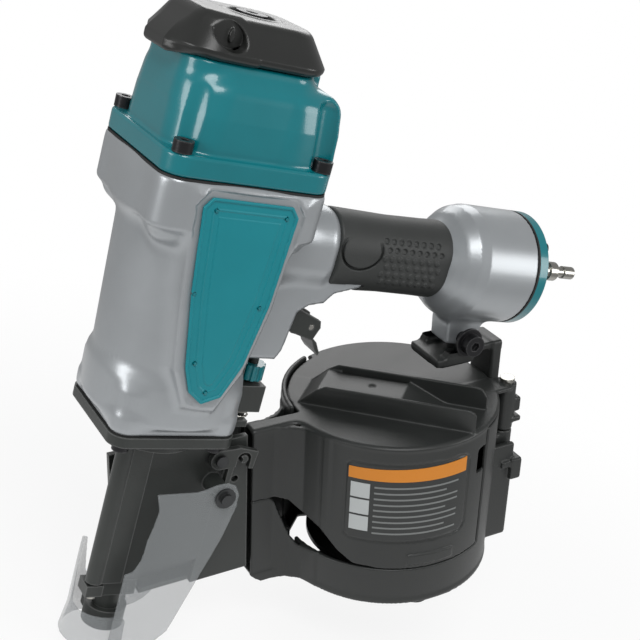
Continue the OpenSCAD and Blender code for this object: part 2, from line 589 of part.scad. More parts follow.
// pins that hold the link on the foot and carry the front shield
module shield_pins() color("gray") for (x = foot_pins) {
    rod_y(1.5, link_y - 3, shield_r + shield_t, x, -2);
    rod_y(3, link_y + 3, shield_r, x, -2);
    rod_y(2.6, shield_r + shield_t, shield_r + shield_t + 1.2, x, -2);
}
module arm_guide() color([0.14, 0.14, 0.14]) difference() {
    union() {
        box(guide_x, arm_x + 7, -9, 9, guide_z, guide_z + 16);
        box(guide_x, guide_x + 2.2, -7, 7, guide_z + 8, guide_z + 33);
    }
    rod_z(rod_r + run, guide_z - 1, guide_z + 17, arm_x);
    rod_z(5.6, guide_z - 1, guide_z + 10, arm_x);
}
module arm_spring() color("silver")
    translate([arm_x, 0, bar_z + 4 + fit]) coil(4.4, 0.6, guide_z + 10 - bar_z - 4 - 2 * fit, 6);
module depth_dial() color([0, 0.5, 0.53]) difference() {
    rod_z(dial_r, dial_z, dial_z + dial_h, arm_x);
    rod_z(rod_r + run, dial_z - 1, dial_z + dial_h + 1, arm_x);
    for (a = [0:30:330]) translate([arm_x, 0, 0]) rotate([0, 0, a]) rod_z(1.2, dial_z - 1, dial_z + dial_h + 1,
        dial_r + 0.4);
}
// sheet that wraps the front and far side of the nose
shield_r = 18.2;
shield_cx = -2;
shield_top = 6;
module nose_shield() color([0.85, 0.9, 0.92, 0.6]) difference() {
    union() {
        translate([shield_cx, 0, 0]) difference() {
            ring_z(shield_r + shield_t, shield_r, -foot_travel - 8, shield_top);
            box(0, 40, -40, 40, -60, 60);
        }
        box(shield_cx, 20, shield_r, shield_r + shield_t, -foot_travel - 8, shield_top);
        rod_y(19, shield_r, shield_r + shield_t, 21, -foot_travel + 11);
        rod_y(8, shield_r, shield_r + shield_t, 41, 8);
        box(21, 41, shield_r, shield_r + shield_t, 0, 16);
    }
    box(-60, 100, -40, 60, -60, -foot_travel - 8);
    for (x = foot_pins) rod_y(1.5 + fit, 0, 40, x, -2);
    for (y = [-3, 3]) box(-40, shield_cx - 10, y - 0.4, y + 0.4, -foot_travel - 9, 2);
}

// ---------- magazine ----------
throat_x = guide_end + front_gap;
wall_top = rim_h - lid_t - 0.5;
cover_end = -62;                     // angle at which the cover's wall ends
module sector(a0, a1, r) polygon(concat([[0, 0]], [for (i = [0:12]) let (a = a0 + (a1 - a0) * i / 12)
    r * 1.2 * [cos(a), sin(a)]]));
module ring_sector(a0, a1, h0, h1) translate([can_x, 0, h0]) linear_extrude(h1 - h0) intersection() {
    difference() { circle(can_r, $fn = 96); circle(can_in, $fn = 96); }
    sector(a0, a1, can_r);
}
module throat_wall(side, h0, h1) translate([0, 0, h0]) linear_extrude(h1 - h0) polygon([
    [throat_x, side * passage], [can_x - can_r + 1, side * passage], [can_x - can_r + 5, side * 17],
    [can_x - can_r + 2, side * 18], [can_x - can_r - 4, side * 12], [can_x - can_r - 13, side * (passage + 3.5)],
    [throat_x, side * (passage + 3.5)]]);
module far_wall() difference() {
    rod_z(can_r, floor_h + 1, wall_top, can_x);
    rod_z(can_in, floor_h, wall_top + 1, can_x);
    translate([can_x, 0, seam_h]) linear_extrude(can_h) polygon([[0, 0], 200 * [cos(165), sin(165)],
        [-200, -200], [0, -200], 200 * [cos(cover_end + 1.5), sin(cover_end + 1.5)]]);
}
module outside_can(r, h0, h1) difference() {
    children();
    rod_z(r, h0, h1, can_x);
}
module magazine_base() color([0.13, 0.13, 0.13]) difference() {
    union() {
        in_magazine() {
            rod_z(can_r, floor_h, floor_h + 3, can_x);
            far_wall();
            box(throat_x, can_x - can_r + 6, -passage - 3.5, passage + 3.5, floor_h + 1, floor_h + 7);
            throat_wall(1, floor_h + 3, wall_top);
            throat_wall(-1, floor_h + 3, seam_h);
            // strap bolted to the nose's guide
            box(strap_bolt_x - 7, can_x - can_r - 16, passage + 3.5 + hair, passage + 7, 63, guide_top - 4);
            box(can_x - can_r - 22, can_x - can_r - 16, passage + 3, passage + 7, 63, guide_top - 4);
            // hinge post
            rod_z(6, floor_h, 66, pin_x, pin_y);
            outside_can(can_in + 1, floor_h - 1, 90)
                box(can_x + can_in - 6, pin_x, pin_y - 5, pin_y + 5, floor_h + 0.5, 64);
            rod_z(10, floor_h + 1, floor_h + 6, can_x);
            // hanger arm, from the rear of the wall over the lid
            box(can_x + can_r + 1.5, can_x + can_r + 9, pin_y + 12, pin_y + 34, 40, rim_h + hump_h + 7);
            outside_can(can_in + 1, 0, 90)
                box(can_x + can_in - 6, can_x + can_r + 8, pin_y + 13, pin_y + 33, 40.5, 64);
            box(can_x + 22, can_x + can_r + 8, pin_y + 13, pin_y + 33, rim_h + hump_h + 2, rim_h + hump_h + 6.5);
            box(can_x + 22, can_x + 46, -hang_half - 6, hang_half + 6, rim_h + hump_h + 2, rim_h + hump_h + 7);
        }
        for (s = [-1, 1]) side_plate([[hang_x - 13, hang_z - 24], [hang_x + 9, hang_z - 24],
            [hang_x + 9, hang_z + 7], [hang_x - 7, hang_z + 7]],
            s > 0 ? hang_half + gap : -hang_half - 7, s > 0 ? hang_half + 7 : -hang_half - gap);
    }
    in_magazine() {
        rod_z(pin_r + fit, floor_h + 2, 70, pin_x, pin_y);
        rod_z(6 + fit, floor_h + 2, 60, can_x);
        box(can_x - can_r - 14, can_x - can_r + 14, -passage, passage, floor_h + 7, 200);
        for (h = strap_bolt_h) rod_y(2 + fit, -20, 20, strap_bolt_x, h);
        rod_z(3 + fit, floor_h - 1, floor_h + 2.2, can_x - 5, -50);
    }
    rod_y(hang_bolt_r + fit, -40, 40, hang_x, hang_z);
}
module strap_bolts() color("gray") for (h = strap_bolt_h) in_magazine() {
    rod_y(2, passage + 0.4, passage + 7, strap_bolt_x, h);
    rod_y(3.4, passage + 7, passage + 9, strap_bolt_x, h);
}
module hump(w, h1, x0, x1) translate([can_x, 0, 0]) rotate([0, 0, hump_turn]) translate([0, -12, 0])
    box(x0, x1, -w / 2, w / 2, rim_h - 1, h1);
module canister_cover() color([0.12, 0.12, 0.12]) in_magazine() difference() {
    union() {
        ring_sector(195, 360 + cover_end, seam_h + gap, rim_h);
        throat_wall(-1, seam_h + 38, rim_h);
        translate([0, 0, rim_h - lid_t]) linear_extrude(lid_t) {
            translate([can_x, 0]) circle(can_r, $fn = 96);
            translate([throat_x, -passage - 3.5]) square([can_x - can_r - throat_x + 8, 2 * passage + 7]);
        }
        intersection() {
            hump(28.5, rim_h + hump_h - 4, -52, 44);
            rod_z(can_r - 4, 0, 200, can_x);
        }
        // hinge strap and barrel
        box(can_x + 40, pin_x, pin_y - 8, pin_y + 8, rim_h - lid_t, rim_h);
        rod_z(6, 66 + gap, rim_h, pin_x, pin_y);
    }
    intersection() {
        hump(24, rim_h + hump_h, 0, 60);
        translate([0, 0, rim_h + 0.5]) cube([900, 900, 60], center = false);
    }
    intersection() {
        hump(24, rim_h + hump_h - 7, -49, 1);
        rod_z(can_r - 6.5, 0, 200, can_x);
    }
    box(can_x + 40, pin_x - 3, -60, 30, 0, rim_h - lid_t);
    translate([can_x, 0, 0]) rotate([0, 0, hump_turn])
        for (x = [-30, -16]) box(x, x + 6, -20, -4, rim_h, rim_h + hump_h);
    box(throat_x - 30, can_x - can_r + 13, -60, 0, seam_h, seam_h + 22);
    rod_z(pin_r + run, 60, rim_h + 3, pin_x, pin_y);
}
module cover_hinge_pin() color("gray") in_magazine() union() {
    rod_z(pin_r, floor_h + 2.2, rim_h + 2, pin_x, pin_y);
    rod_z(4.5, rim_h + gap, rim_h + 3, pin_x, pin_y);
}
module platform_post() color("gray") in_magazine() rod_z(6, floor_h + 2.2, 72, can_x);
module nail_platform() color([0.3, 0.3, 0.3]) in_magazine() difference() {
    union() {
        rod_z(48, floor_h + 9, floor_h + 12, can_x);
        rod_z(11, floor_h + 7, floor_h + 26, can_x);
    }
    rod_z(6 + run, floor_h, 60, can_x);
}
module feed_cylinder_cap() color("gray") in_magazine() {
    rod_x(9, feed_x1, feed_x1 + 2.5, feed_y, feed_h);
}
module feed_piston() color("silver") in_magazine() union() {
    rod_x(6, feed_x0 + 2, feed_x0 + 6, feed_y, feed_h);
    rod_x(2.5, 31, feed_x0 + 3, feed_y, feed_h);
}
module feed_pawl() color([0.4, 0.4, 0.4]) in_magazine() union() {
    box(24, 31, feed_y - 6, feed_y + 4, feed_h - 4, feed_h + 4);
    box(24, 31, 7, feed_y, feed_h - 3, feed_h + 3);
    side_plate([[24, feed_h - 3], [24, feed_h + 3], [29, feed_h + 3], [29, feed_h - 3]], 3, 8);
}
module feed_spring() color("silver") in_magazine()
    translate([feed_x0 + 6 + fit, feed_y, feed_h]) rotate([0, 90, 0]) coil(4.4, 0.5, feed_x1 - feed_x0 - 6 - 2 * fit, 5);
module hanger_bolt() color([0.1, 0.1, 0.1]) {
    rod_y(hang_bolt_r, -hang_half - 8.5, hang_half + 7, hang_x, hang_z);
    translate([hang_x, -hang_half - 8.5, hang_z]) rotate([90, 0, 0]) screw_head(6.5, 6, 3);
}
module hanger_washer() color("gray") difference() {
    rod_y(9, -hang_half - 8.5, -hang_half - 7, hang_x, hang_z);
    rod_y(hang_bolt_r + fit, -60, 60, hang_x, hang_z);
}
module magazine_foot() color([0.2, 0.2, 0.2]) in_magazine() union() {
    rod_z(8, floor_h - 8, floor_h, can_x - 5, -50);
    rod_z(3, floor_h - 1, floor_h + 2, can_x - 5, -50);
}

main_housing();
side_badges();
badge_rivets();
cap_gasket();
cylinder_cap();
cap_bolts();
piston_stop();
head_valve();
head_valve_seal();
head_valve_spring();
exhaust_deflector();
deflector_washer();
deflector_bolt();
cylinder_sleeve();
sleeve_seals();
piston();
piston_ring();
driver_blade();
bumper();
handle_grip();
chamber_gasket();
chamber_cap();
chamber_bolts();
air_plug();
valve_body();
valve_stem();
valve_spring();
trigger();
trigger_lever();
lever_pin();
cheek_pins();
nose_gasket();
nosepiece();
nose_bolts();
feed_door();
door_hinge_pin();
side_shield();
shield_screw();
door_latch();
latch_pin();
contact_foot();
contact_arm();
shield_pins();
arm_guide();
arm_spring();
depth_dial();
nose_shield();
magazine_base();
strap_bolts();
canister_cover();
cover_hinge_pin();
platform_post();
nail_platform();
feed_cylinder_cap();
feed_piston();
feed_pawl();
feed_spring();
hanger_bolt();
hanger_washer();
magazine_foot();
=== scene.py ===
"""Looks for the pneumatic coil nailer. Shapes are built as signed distance fields in millimetres,
turned into meshes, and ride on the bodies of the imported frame."""
import json
import math
import bpy
import numpy as np
from mathutils import Matrix, Vector


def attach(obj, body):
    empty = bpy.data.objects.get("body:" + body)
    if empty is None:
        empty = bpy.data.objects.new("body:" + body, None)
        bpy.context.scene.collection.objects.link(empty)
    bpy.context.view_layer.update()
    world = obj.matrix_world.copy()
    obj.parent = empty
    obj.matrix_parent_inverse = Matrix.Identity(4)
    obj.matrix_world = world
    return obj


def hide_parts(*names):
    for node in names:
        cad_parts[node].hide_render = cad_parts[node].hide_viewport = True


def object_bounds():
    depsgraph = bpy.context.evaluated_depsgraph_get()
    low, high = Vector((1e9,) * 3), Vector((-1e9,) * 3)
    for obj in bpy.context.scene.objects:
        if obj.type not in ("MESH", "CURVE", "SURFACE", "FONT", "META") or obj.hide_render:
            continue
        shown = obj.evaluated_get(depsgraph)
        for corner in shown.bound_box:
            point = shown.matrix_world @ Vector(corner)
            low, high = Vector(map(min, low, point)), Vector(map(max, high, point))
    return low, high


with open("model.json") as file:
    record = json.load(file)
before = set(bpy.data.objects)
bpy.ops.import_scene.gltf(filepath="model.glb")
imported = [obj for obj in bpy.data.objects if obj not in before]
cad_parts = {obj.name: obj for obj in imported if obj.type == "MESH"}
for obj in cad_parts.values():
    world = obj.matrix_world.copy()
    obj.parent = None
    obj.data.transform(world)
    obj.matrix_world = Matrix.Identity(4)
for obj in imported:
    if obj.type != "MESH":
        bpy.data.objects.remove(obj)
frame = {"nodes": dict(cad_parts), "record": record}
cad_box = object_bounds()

MM = 0.001
TILT = math.radians(15)
MAG = np.array([[math.cos(TILT), 0, -math.sin(TILT)], [0, 1, 0], [math.sin(TILT), 0, math.cos(TILT)]])

# ---------- distance fields ----------


class Grid:
    """Sample points of a box, as axes that broadcast against each other."""
    def __init__(self, lo, hi, step):
        self.lo, self.step = np.array(lo, float), step
        n = np.ceil((np.array(hi) - self.lo) / step).astype(int) + 1
        ax = [(self.lo[i] + step * np.arange(n[i])).astype(np.float32) for i in range(3)]
        self.x, self.y, self.z = ax[0][:, None, None], ax[1][None, :, None], ax[2][None, None, :]


class Flipped:
    """The place of a grid mirrored to the other side of the tool."""
    def __init__(self, g):
        self.step = g.step
        self.lo = np.array([g.lo[0], -g.y.ravel()[-1], g.lo[2]])


def smin(a, b, k):
    """Union that is blended over a width of k."""
    h = np.clip(0.5 + 0.5 * (b - a) / k, 0, 1)
    return b + (a - b) * h - k * h * (1 - h)


def smax(a, b, k):
    return -smin(-a, -b, k)


def cut(a, b, k=0.0):
    return smax(a, -b, k) if k else np.maximum(a, -b)


def round_box(x, y, z, c, half, r):
    """Box with its edges rounded by r."""
    qx, qy, qz = abs(x - c[0]) - half[0] + r, abs(y - c[1]) - half[1] + r, abs(z - c[2]) - half[2] + r
    out = np.sqrt(np.maximum(qx, 0) ** 2 + np.maximum(qy, 0) ** 2 + np.maximum(qz, 0) ** 2)
    return out + np.minimum(np.maximum(np.maximum(qx, qy), qz), 0) - r


def plan_box(x, y, w, d, r):
    """Outline of a rectangle of half sizes w and d with corners of radius r."""
    qx, qy = abs(x) - w + r, abs(y) - d + r
    return np.hypot(np.maximum(qx, 0), np.maximum(qy, 0)) + np.minimum(np.maximum(qx, qy), 0) - r


def slab(d2, t, t0, t1, r=0.0):
    """A flat outline d2 drawn out from t0 to t1, with its edges rounded by r."""
    q = np.maximum(t0 - t, t - t1) + r
    d = d2 + r
    return np.minimum(np.maximum(d, q), 0) + np.hypot(np.maximum(d, 0), np.maximum(q, 0)) - r


def disc(u, v, cu, cv, r):
    """Outline of a circle."""
    return np.hypot(u - cu, v - cv) - r


def polygon(u, v, pts):
    """Outline through the points, in any winding."""
    d = np.full(np.broadcast(u, v).shape, 1e9, np.float32)
    inside = np.zeros(d.shape, bool)
    n = len(pts)
    for i in range(n):
        (ax, ay), (bx, by) = pts[i], pts[(i + 1) % n]
        ex, ey = bx - ax, by - ay
        t = np.clip(((u - ax) * ex + (v - ay) * ey) / (ex * ex + ey * ey), 0, 1)
        d = np.minimum(d, (u - ax - t * ex) ** 2 + (v - ay - t * ey) ** 2)
        if ay != by:
            inside ^= ((v >= ay) != (v >= by)) & (u < ax + (v - ay) * ex / ey)
    return np.where(inside, -np.sqrt(d), np.sqrt(d))


def polyline(u, v, pts, half):
    """A wall of half thickness half along the points."""
    d = np.full(np.broadcast(u, v).shape, 1e9, np.float32)
    for (ax, ay), (bx, by) in zip(pts, pts[1:]):
        ex, ey = bx - ax, by - ay
        t = np.clip(((u - ax) * ex + (v - ay) * ey) / (ex * ex + ey * ey), 0, 1)
        d = np.minimum(d, (u - ax - t * ex) ** 2 + (v - ay - t * ey) ** 2)
    return np.sqrt(d) - half


def stadium(y, z, w, h):
    """Upright outline with round ends, w wide and h high."""
    return np.hypot(y, np.maximum(abs(z) - (h - w) / 2, 0)) - w / 2


def mesh_from(field, g):
    """Naive surface nets with normals from the field."""
    f = field.astype(np.float32)
    s = f < 0
    count = np.zeros(tuple(n - 1 for n in f.shape), np.uint8)
    corners = [(i, j, k) for i in (0, 1) for j in (0, 1) for k in (0, 1)]
    nx, ny, nz = f.shape
    for i, j, k in corners:
        count += s[i:nx - 1 + i, j:ny - 1 + j, k:nz - 1 + k]
    mask = (count > 0) & (count < 8)
    index = np.full(mask.shape, -1, np.int32)
    cells = np.argwhere(mask)
    index[mask] = np.arange(len(cells))
    pos, hits = np.zeros((len(cells), 3)), np.zeros(len(cells))
    for a in corners:
        for axis in range(3):
            if a[axis]:
                continue
            b = tuple(v + (n == axis) for n, v in enumerate(a))
            fa, fb = f[tuple((cells + a).T)], f[tuple((cells + b).T)]
            c = (fa < 0) != (fb < 0)
            t = fa[c] / (fa[c] - fb[c])
            p = np.tile(np.array(a, float), (len(t), 1))
            p[:, axis] = t
            pos[c] += p
            hits[c] += 1
    pos = cells + pos / hits[:, None]
    faces = []
    for axis in range(3):
        u, v = (axis + 1) % 3, (axis + 2) % 3
        lo = [slice(None)] * 3
        hi = [slice(None)] * 3
        lo[axis], hi[axis] = slice(0, -1), slice(1, None)
        e = np.argwhere(s[tuple(lo)] != s[tuple(hi)])
        e = e[(e[:, u] > 0) & (e[:, v] > 0) & (e[:, u] < f.shape[u] - 1) & (e[:, v] < f.shape[v] - 1)]
        q = []
        for du, dv in ((1, 1), (0, 1), (0, 0), (1, 0)):
            w = e.copy()
            w[:, u] -= du
            w[:, v] -= dv
            q.append(index[tuple(w.T)])
        q = np.stack(q, 1)
        flip = ~s[tuple(e.T)]
        q[flip] = q[flip][:, ::-1]
        faces.append(q)
    faces = np.concatenate(faces)
    # normals: gradient of the field at each vertex
    base = np.clip(np.floor(pos).astype(int), 0, np.array(f.shape) - 2)
    fr = pos - base
    grad = np.zeros_like(pos)
    for axis in range(3):
        total = 0
        for a in corners:
            w = np.ones(len(pos))
            for n in range(3):
                if n != axis:
                    w *= fr[:, n] if a[n] else 1 - fr[:, n]
            total = total + w * f[tuple((base + a).T)] * (1 if a[axis] else -1)
        grad[:, axis] = total
    grad /= np.linalg.norm(grad, axis=1, keepdims=True) + 1e-12
    return g.lo + g.step * pos, faces, grad


def piece(name, body, field, g, look, nodes=(), turn=None):
    """Mesh of a distance field, riding on a body of the frame. turn sets a frame of its own upright."""
    verts, faces, normals = mesh_from(field, g)
    if turn is not None:
        verts, normals = verts @ turn.T, normals @ turn.T
    me = bpy.data.meshes.new(name)
    me.vertices.add(len(verts))
    me.vertices.foreach_set("co", (verts * MM).ravel())
    me.loops.add(faces.size)
    me.loops.foreach_set("vertex_index", faces.ravel())
    me.polygons.add(len(faces))
    me.polygons.foreach_set("loop_start", np.arange(0, faces.size, 4))
    me.update(calc_edges=True)
    me.validate()
    me.polygons.foreach_set("use_smooth", np.ones(len(me.polygons), bool))
    me.normals_split_custom_set_from_vertices(normals)
    place(name, me, body, look, nodes)


def place(name, me, body, look, nodes=()):
    ob = bpy.data.objects.new(name, me)
    bpy.context.scene.collection.objects.link(ob)
    me.materials.append(look)
    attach(ob, body)
    if nodes:
        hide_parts(*nodes)


# ---------- materials ----------
def srgb(*c):
    return tuple(((v / 255 + 0.055) / 1.055) ** 2.4 if v > 10.3 else v / 255 / 12.92 for v in c) + (1.0,)


def material(name, colour, rough, metallic=0.0, coat=0.0, grain=0.0, grain_scale=900.0, mottling=0.06,
             edge=0.0, wear=0.0):
    """Moulded or painted surface: slight mottling, grain as bump, rounded edges, worn edges."""
    m = bpy.data.materials.new(name)
    m.use_nodes = True
    nt = m.node_tree
    n, l = nt.nodes, nt.links
    n.clear()
    out = n.new("ShaderNodeOutputMaterial")
    b = n.new("ShaderNodeBsdfPrincipled")
    l.new(b.outputs[0], out.inputs[0])
    b.inputs["Metallic"].default_value = metallic
    b.inputs["Coat Weight"].default_value = coat
    b.inputs["Coat Roughness"].default_value = 0.08
    co = n.new("ShaderNodeTexCoord")
    big = n.new("ShaderNodeTexNoise")
    big.inputs["Scale"].default_value = 45
    big.inputs["Detail"].default_value = 5
    l.new(co.outputs["Object"], big.inputs["Vector"])
    ramp = n.new("ShaderNodeValToRGB")
    ramp.color_ramp.elements[0].position, ramp.color_ramp.elements[1].position = 0.3, 0.7
    dark = tuple(v * (1 - mottling) for v in colour[:3]) + (1,)
    lite = tuple(min(1, v * (1 + mottling)) for v in colour[:3]) + (1,)
    ramp.color_ramp.elements[0].color, ramp.color_ramp.elements[1].color = dark, lite
    l.new(big.outputs["Fac"], ramp.inputs[0])
    last = ramp.outputs[0]
    if wear:
        bev = n.new("ShaderNodeBevel")
        bev.inputs["Radius"].default_value = 0.0012
        geo = n.new("ShaderNodeNewGeometry")
        dot = n.new("ShaderNodeVectorMath")
        dot.operation = "DOT_PRODUCT"
        l.new(bev.outputs[0], dot.inputs[0])
        l.new(geo.outputs["Normal"], dot.inputs[1])
        edge_ramp = n.new("ShaderNodeMapRange")
        edge_ramp.inputs["From Min"].default_value = 0.995
        edge_ramp.inputs["From Max"].default_value = 0.93
        edge_ramp.inputs["To Max"].default_value = wear
        l.new(dot.outputs["Value"], edge_ramp.inputs[0])
        mix = n.new("ShaderNodeMixRGB")
        mix.inputs[2].default_value = (0.42, 0.42, 0.42, 1)
        l.new(edge_ramp.outputs[0], mix.inputs[0])
        l.new(last, mix.inputs[1])
        last = mix.outputs[0]
    l.new(last, b.inputs["Base Color"])
    rr = n.new("ShaderNodeMapRange")
    rr.inputs["To Min"].default_value, rr.inputs["To Max"].default_value = rough * 0.88, min(1, rough * 1.12)
    l.new(big.outputs["Fac"], rr.inputs[0])
    l.new(rr.outputs[0], b.inputs["Roughness"])
    normal = None
    if edge:
        bev = n.new("ShaderNodeBevel")
        bev.inputs["Radius"].default_value = edge
        bev.samples = 6
        normal = bev.outputs[0]
    if grain:
        tex = n.new("ShaderNodeTexNoise")
        tex.inputs["Scale"].default_value = grain_scale
        tex.inputs["Detail"].default_value = 3
        l.new(co.outputs["Object"], tex.inputs["Vector"])
        bump = n.new("ShaderNodeBump")
        bump.inputs["Strength"].default_value = grain
        bump.inputs["Distance"].default_value = 0.0004
        l.new(tex.outputs["Fac"], bump.inputs["Height"])
        if normal:
            l.new(normal, bump.inputs["Normal"])
        normal = bump.outputs[0]
    if normal:
        l.new(normal, b.inputs["Normal"])
    return m


def clear_sheet(name):
    """Thin tinted plastic, slightly uneven."""
    m = bpy.data.materials.new(name)
    m.use_nodes = True
    nt = m.node_tree
    n, l = nt.nodes, nt.links
    b = n["Principled BSDF"]
    b.inputs["Base Color"].default_value = (0.34, 0.36, 0.37, 1)
    b.inputs["Roughness"].default_value = 0.22
    b.inputs["Alpha"].default_value = 0.36
    b.inputs["IOR"].default_value = 1.45
    noise = n.new("ShaderNodeTexNoise")
    noise.inputs["Scale"].default_value = 60
    bump = n.new("ShaderNodeBump")
    bump.inputs["Strength"].default_value = 0.12
    bump.inputs["Distance"].default_value = 0.001
    l.new(noise.outputs["Fac"], bump.inputs["Height"])
    l.new(bump.outputs[0], b.inputs["Normal"])
    return m


TEAL = material("teal_enamel", srgb(0, 116, 125), 0.26, coat=0.5, grain=0.05, grain_scale=300, mottling=0.04,
                edge=0.0005)
BADGE_TEAL = material("teal_badge", srgb(0, 130, 141), 0.42, grain=0.05, grain_scale=300, mottling=0.03,
                      edge=0.0003)
SILVER = material("silver_enamel", srgb(166, 170, 173), 0.34, metallic=0.45, coat=0.25, grain=0.10,
                  grain_scale=1400, mottling=0.03, edge=0.0005)
BLACK_PAINT = material("black_coated_steel", srgb(46, 49, 47), 0.42, grain=0.18, grain_scale=900, mottling=0.12,
                       edge=0.0006, wear=0.25)
PLASTIC = material("black_moulded_plastic", srgb(41, 43, 42), 0.42, grain=0.22, grain_scale=1600, mottling=0.08,
                   edge=0.0005)
RUBBER = material("grip_rubber", srgb(48, 50, 49), 0.55, grain=0.22, grain_scale=1500, mottling=0.10)
HOOD = material("black_gloss_plastic", srgb(38, 39, 38), 0.30, grain=0.08, grain_scale=1600, mottling=0.06,
                edge=0.0004)
SEAL = material("seal_rubber", srgb(28, 28, 28), 0.6, grain=0.2)
SCREW = material("black_screw", srgb(42, 42, 44), 0.35, metallic=0.6, grain=0.1, edge=0.0004, wear=0.15)
STEEL = material("bright_steel", srgb(176, 174, 168), 0.24, metallic=1.0, grain=0.08, grain_scale=500,
                 edge=0.0004)
DARK_STEEL = material("dark_steel", srgb(64, 65, 66), 0.35, metallic=0.7, grain=0.1, edge=0.0004)
ALLOY = material("machined_alloy", srgb(190, 192, 194), 0.32, metallic=1.0, grain=0.1, grain_scale=500,
                 edge=0.0004)
CLEAR = clear_sheet("clear_polycarbonate")
LOOKS = {"teal_paint": TEAL, "silver_paint": SILVER, "black_paint": BLACK_PAINT, "black_plastic": PLASTIC,
         "grip_rubber": RUBBER, "seal_rubber": SEAL, "black_screw": SCREW, "steel": STEEL, "aluminium": ALLOY,
         "clear_sheet": CLEAR}

# ---------- housing casting ----------
HANDLE_Z = 229.0
# half sizes and corner radius of the housing's collar and the cap's flange
COLLAR = (46, 44.5, 12)
FLANGE_LOW, FLANGE_TOP = 269.2, 280.2
CAP_TOP = 323.2
CAP_BOLT = 38.5
HOOD_LOW, HOOD_TOP = 323.8, 343.8
BADGE_BACK, BADGE_POCKET = 45.05, 44.9
BADGE = [(-24, 257), (-20, 262), (24, 262), (28, 257), (25, 210), (19, 176), (11, 158), (1, 154), (-7, 160),
         (-12, 173), (-19, 213)]


def housing():
    g = Grid((-50, -50, 125), (210, 50, 272), 1.25)
    x, y, z = g.x, g.y, g.z
    r = np.hypot(x, y)
    # barrel that narrows towards the nose
    radius = 40.5 + 3.0 * np.clip((z - 160) / 80, 0, 1)
    body = slab(r - radius, z, 134, 262, 2)
    flange = slab(plan_box(x, y, 35, 33.5, 8), z, 128, 138, 1.5)
    skirt = slab(plan_box(x, y, 34 + 0.12 * np.clip(z - 138, 0, 20), 32.5, 16), z, 130, 158, 4)
    body = smin(smin(body, skirt, 9), flange, 4)
    collar = slab(plan_box(x, y, *COLLAR), z, 244, 268, 1.2)
    body = smin(body, collar, 14)
    for sx in (-1, 1):
        for sy in (-1, 1):
            body = smin(body, slab(disc(x, y, sx * 27, sy * 25.5, 7.2), z, 129, 153, 3), 5)
            # rib that runs up from each corner to the collar
            body = smin(body, slab(disc(x, y, sx * 34, sy * 32.5, 6.0), z, 236, 266, 3), 12)
    pad = polygon(x, z, [(-29, 264), (33, 264), (29, 206), (22, 170), (11, 148), (-7, 150), (-17, 170),
                         (-23, 210)])
    body = smin(body, slab(pad, abs(y), 20, 45, 2.5), 6)
    # handle, neck and rear chamber
    core = stadium(y, z - HANDLE_Z, 32, 40)
    body = smin(body, slab(core, x, 20, 168, 0), 16)
    neck = stadium(y, z - HANDLE_Z, 36, 46)
    body = smin(body, slab(neck, x, 20, 74.5, 3), 8)
    prof = np.interp(g.x.ravel(), [150, 153, 158, 164, 170, 207], [17, 22, 28, 32.5, 34, 34])[:, None, None]
    cup = slab(np.hypot(y, z - HANDLE_Z) - prof, x, 151, 206, 1)
    body = smin(body, cup, 5)
    cheek = polygon(x, z, [(36, 166), (58, 166), (61, 172), (64, 194.5), (70, 199), (79, 201), (84, 207),
                           (100, 212), (100, 229), (36, 229)])
    body = smin(body, slab(cheek, abs(y), -20, 15, 2.2), 3)
    body = smin(body, round_box(x, y, z, (36, 0, 157), (7.25, 9, 21), 1.5), 3)
    hang = polygon(x, z, [(170, 213), (173, 190.5), (176, 179.5), (194, 178.5), (198, 188.5), (200, 213)])
    body = smin(body, slab(hang, abs(y), -20, 9, 1.6), 5)
    # bores and hollows
    body = cut(body, slab(r - 29.2, z, 134, 300))
    body = cut(body, np.maximum(slab(r - 39, z, 162, 300), 29.1 - r))
    body = cut(body, slab(r - 8.8, z, 100, 135))
    body = cut(body, slab(np.hypot(y, z - HANDLE_Z) - 14, x, 34, 204))
    body = cut(body, slab(np.hypot(y, z - HANDLE_Z) - 30, x, 170, 300))
    body = cut(body, round_box(x, y, z, (76.6, 0, 180.5), (33.4, 8.6, 22.5), 1))
    body = cut(body, slab(disc(x, y, 72, 0, 8.1), z, 199, 230))
    # pocket behind each badge
    badge = polygon(x, z, BADGE) - 3.5
    body = smax(body, -np.maximum(badge, BADGE_POCKET - abs(y)), 1.5)
    piece("housing_casting", "tool", body, g, SILVER, ["main_housing"])


